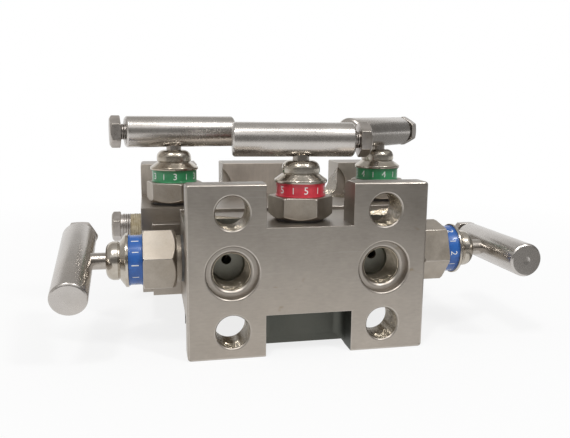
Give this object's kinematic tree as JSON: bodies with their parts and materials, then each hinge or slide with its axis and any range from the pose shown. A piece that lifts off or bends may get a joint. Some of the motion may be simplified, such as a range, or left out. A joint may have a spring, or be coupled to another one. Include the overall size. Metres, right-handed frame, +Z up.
{
  "type": "instrument valve manifold",
  "caption": "Steel instrument manifold block with flanges front and back, side isolate valves, top equalize and vent valves, and T-bar handles.",
  "frame": {"origin": "centre of the transmitter flange face, midway between its two ports", "axes": "+X to the right seen from the transmitter, +Y from the transmitter flange to the process flange, +Z up"},
  "size_m": [0.1728, 0.1012, 0.0823],
  "materials": {
    "body_steel": "ground and lightly stained stainless steel",
    "bonnet_steel": "turned stainless steel",
    "gland_steel": "polished stainless steel",
    "stem_steel": "bright ground stainless steel",
    "handle_steel": "turned and satin polished stainless steel",
    "bolt_steel": "plain stainless steel fastener",
    "seal": "filled PTFE",
    "packing": "PTFE",
    "thread_tape": "wound PTFE tape, yellowed",
    "ring_red": "moulded",
    "ring_green": "moulded",
    "ring_blue": "moulded"
  },
  "bodies": {
    "block": {"manifold_body": "body_steel", "test_port_plug": "bolt_steel", "thread_tape": "thread_tape", "vent_bonnet": "bonnet_steel", "vent_bonnet_seal": "seal", "vent_label_ring": "ring_red", "vent_packing": "packing", "vent_gland_nut": "gland_steel", "left_equalize_bonnet": "bonnet_steel", "left_equalize_bonnet_seal": "seal", "left_equalize_label_ring": "ring_green", "left_equalize_packing": "packing", "left_equalize_gland_nut": "gland_steel", "right_equalize_bonnet": "bonnet_steel", "right_equalize_bonnet_seal": "seal", "right_equalize_label_ring": "ring_green", "right_equalize_packing": "packing", "right_equalize_gland_nut": "gland_steel", "left_isolate_bonnet": "bonnet_steel", "left_isolate_bonnet_seal": "seal", "left_isolate_label_ring": "ring_blue", "left_isolate_packing": "packing", "left_isolate_gland_nut": "gland_steel", "right_isolate_bonnet": "bonnet_steel", "right_isolate_bonnet_seal": "seal", "right_isolate_label_ring": "ring_blue", "right_isolate_packing": "packing", "right_isolate_gland_nut": "gland_steel"},
    "vent_needle": {"vent_needle_tip": "stem_steel"},
    "vent_handle": {"vent_stem": "stem_steel", "vent_handle_bar": "handle_steel", "vent_lock_bolt": "bolt_steel"},
    "left_equalize_needle": {"left_equalize_needle_tip": "stem_steel"},
    "left_equalize_handle": {"left_equalize_stem": "stem_steel", "left_equalize_handle_bar": "handle_steel", "left_equalize_lock_bolt": "bolt_steel"},
    "right_equalize_needle": {"right_equalize_needle_tip": "stem_steel"},
    "right_equalize_handle": {"right_equalize_stem": "stem_steel", "right_equalize_handle_bar": "handle_steel", "right_equalize_lock_bolt": "bolt_steel"},
    "left_isolate_needle": {"left_isolate_needle_tip": "stem_steel"},
    "left_isolate_handle": {"left_isolate_stem": "stem_steel", "left_isolate_handle_bar": "handle_steel", "left_isolate_lock_bolt": "bolt_steel"},
    "right_isolate_needle": {"right_isolate_needle_tip": "stem_steel"},
    "right_isolate_handle": {"right_isolate_stem": "stem_steel", "right_isolate_handle_bar": "handle_steel", "right_isolate_lock_bolt": "bolt_steel"}
  },
  "joints": [
    {"name": "vent_lift", "type": "slide", "parent": "block", "child": "vent_needle", "axis": [0, 0, 1], "range_m": [0, 0.00317]},
    {"name": "vent_turn", "type": "hinge", "parent": "vent_needle", "child": "vent_handle", "pos_m": [0, 0.0165, 0.0154], "axis": [0, 0, 1], "range_deg": [0, 900]},
    {"name": "left_equalize_lift", "type": "slide", "parent": "block", "child": "left_equalize_needle", "axis": [0, 0, 1], "range_m": [0, 0.00317]},
    {"name": "left_equalize_turn", "type": "hinge", "parent": "left_equalize_needle", "child": "left_equalize_handle", "pos_m": [-0.0436, 0.0565, 0.0166], "axis": [0, 0, 1], "range_deg": [0, 900]},
    {"name": "right_equalize_lift", "type": "slide", "parent": "block", "child": "right_equalize_needle", "axis": [0, 0, 1], "range_m": [0, 0.00317]},
    {"name": "right_equalize_turn", "type": "hinge", "parent": "right_equalize_needle", "child": "right_equalize_handle", "pos_m": [0.0436, 0.0565, 0.0166], "axis": [0, 0, 1], "range_deg": [0, 900]},
    {"name": "left_isolate_lift", "type": "slide", "parent": "block", "child": "left_isolate_needle", "axis": [-1, 0, 0], "range_m": [-0.00317, 0]},
    {"name": "left_isolate_turn", "type": "hinge", "parent": "left_isolate_needle", "child": "left_isolate_handle", "pos_m": [-0.0425, 0.02, 0.0015], "axis": [-1, 0, 0], "range_deg": [-900, 0]},
    {"name": "right_isolate_lift", "type": "slide", "parent": "block", "child": "right_isolate_needle", "axis": [1, 0, 0], "range_m": [-0.00317, 0]},
    {"name": "right_isolate_turn", "type": "hinge", "parent": "right_isolate_needle", "child": "right_isolate_handle", "pos_m": [0.0425, 0.02, 0.0015], "axis": [1, 0, 0], "range_deg": [-900, 0]}
  ],
  "couplings": [
    {"joint": "vent_lift", "follows": "vent_turn", "m_per_rad": 0.00020213},
    {"joint": "left_equalize_lift", "follows": "left_equalize_turn", "m_per_rad": 0.00020213},
    {"joint": "right_equalize_lift", "follows": "right_equalize_turn", "m_per_rad": 0.00020213},
    {"joint": "left_isolate_lift", "follows": "left_isolate_turn", "m_per_rad": 0.00020213},
    {"joint": "right_isolate_lift", "follows": "right_isolate_turn", "m_per_rad": 0.00020213}
  ]
}
